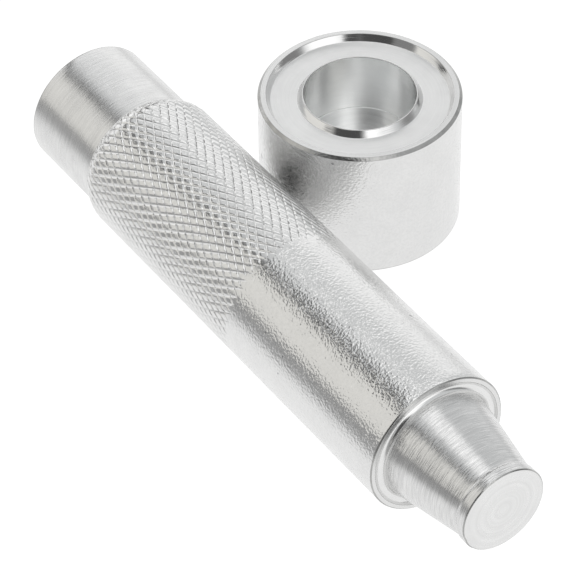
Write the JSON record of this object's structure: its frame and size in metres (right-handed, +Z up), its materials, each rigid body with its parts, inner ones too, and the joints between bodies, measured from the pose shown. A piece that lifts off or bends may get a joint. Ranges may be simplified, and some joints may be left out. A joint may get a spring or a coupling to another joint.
{
  "type": "rivet setter",
  "caption": "Hand setter for eyelets and hollow rivets: a struck punch with a knurled grip, tapered nose and curling groove, beside a round dished anvil with a bored boss.",
  "frame": {"origin": "centre of the anvil's underside, on the bench surface", "axes": "+Z up along the anvil's axis; +X along the lying punch, from its struck face towards its nose; the punch lies on the -Y side of the anvil"},
  "size_m": [0.1038, 0.0529, 0.022],
  "materials": {
    "zinc_plated_steel": "bright zinc plating over turned steel: fine turning marks on cut faces, grainy bar skin on the plain sides"
  },
  "bodies": {
    "anvil": {"base_anvil": "zinc_plated_steel"},
    "punch": {"setter_punch": "zinc_plated_steel"}
  },
  "joints": [
    {"name": "punch_lift", "type": "slide", "parent": "anvil", "child": "punch", "axis": [0, 0, 1], "range_m": [0, 0.06]}
  ]
}
